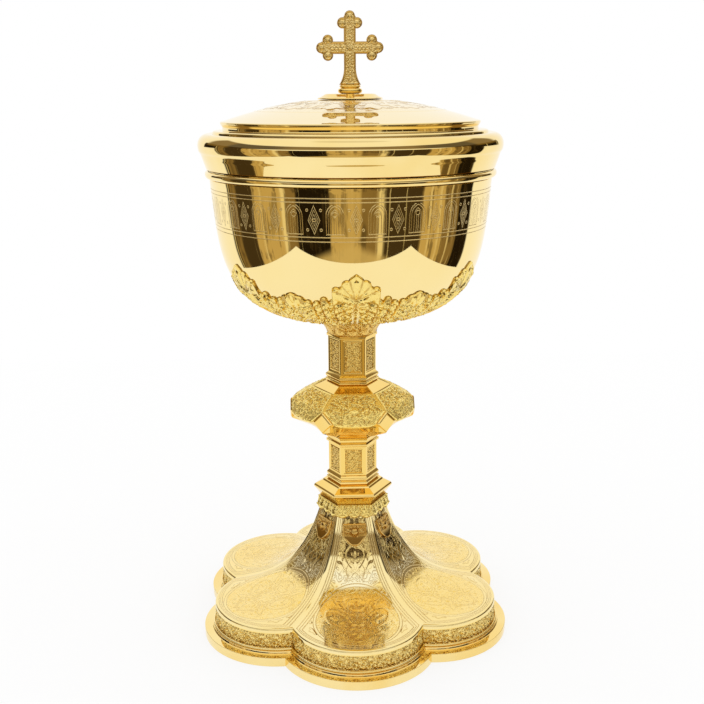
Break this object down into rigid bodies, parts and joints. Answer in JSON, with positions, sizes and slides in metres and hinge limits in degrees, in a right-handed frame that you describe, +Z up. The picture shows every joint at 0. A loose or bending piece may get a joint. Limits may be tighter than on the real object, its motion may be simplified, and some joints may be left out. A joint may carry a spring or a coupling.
{
  "type": "ciborium",
  "caption": "Gilt metal ciborium: lidded round cup with a foliate calyx on a six-sided stem with a knop, a lobed engraved foot and a cross on the lid. The lid lifts off and turns.",
  "frame": {"origin": "on the table, under the middle of the foot", "axes": "+Z up along the cup's axis; the front, with the face of the cross and one foot lobe, towards -Y; +X to the right seen from the front"},
  "size_m": [0.1524, 0.1642, 0.3],
  "materials": {
    "gilt_polished": "mirror polished gilding",
    "gilt_cast": "gilt castings with dark recesses",
    "gilt_engraved": "engraved and stippled gilding",
    "steel": "plain turned steel"
  },
  "bodies": {
    "base": {"foot_flange": "gilt_polished", "foot_bead": "gilt_polished", "foot_gallery": "gilt_cast", "foot_shell": "gilt_engraved", "foot_shield_1": "gilt_cast", "foot_shield_2": "gilt_cast", "foot_shield_3": "gilt_cast", "foot_shield_4": "gilt_cast", "foot_shield_5": "gilt_cast", "foot_shield_6": "gilt_cast", "foot_collar": "gilt_cast", "tie_rod": "steel", "tie_washer": "steel", "tie_nut": "steel", "stem_plate": "gilt_polished", "lower_stem_base": "gilt_polished", "lower_stem": "gilt_engraved", "lower_stem_cap": "gilt_polished", "knop_body": "gilt_polished", "knop_panel_1": "gilt_cast", "knop_panel_2": "gilt_cast", "knop_panel_3": "gilt_cast", "knop_panel_4": "gilt_cast", "knop_panel_5": "gilt_cast", "knop_panel_6": "gilt_cast", "knop_lozenge_1": "gilt_polished", "knop_lozenge_2": "gilt_polished", "knop_lozenge_3": "gilt_polished", "knop_lozenge_4": "gilt_polished", "knop_lozenge_5": "gilt_polished", "knop_lozenge_6": "gilt_polished", "upper_stem_base": "gilt_polished", "upper_stem": "gilt_engraved", "capital": "gilt_cast", "cup_socket": "gilt_cast", "calyx": "gilt_cast", "cup_bowl": "gilt_polished"},
    "lid_seat": {"lid_bezel": "gilt_polished"},
    "lid": {"lid_shell": "gilt_polished", "lid_bead": "gilt_polished", "finial_collar": "gilt_polished", "finial_ball": "gilt_cast", "finial_screw": "steel", "finial_nut": "steel", "cross": "gilt_cast"}
  },
  "joints": [
    {"name": "lid_lift", "type": "slide", "parent": "base", "child": "lid_seat", "axis": [0, 0, 1], "range_m": [0, 0.12]},
    {"name": "lid_turn", "type": "hinge", "parent": "lid_seat", "child": "lid", "pos_m": [0, 0, 0.2253], "axis": [0, 0, 1], "continuous": true}
  ]
}
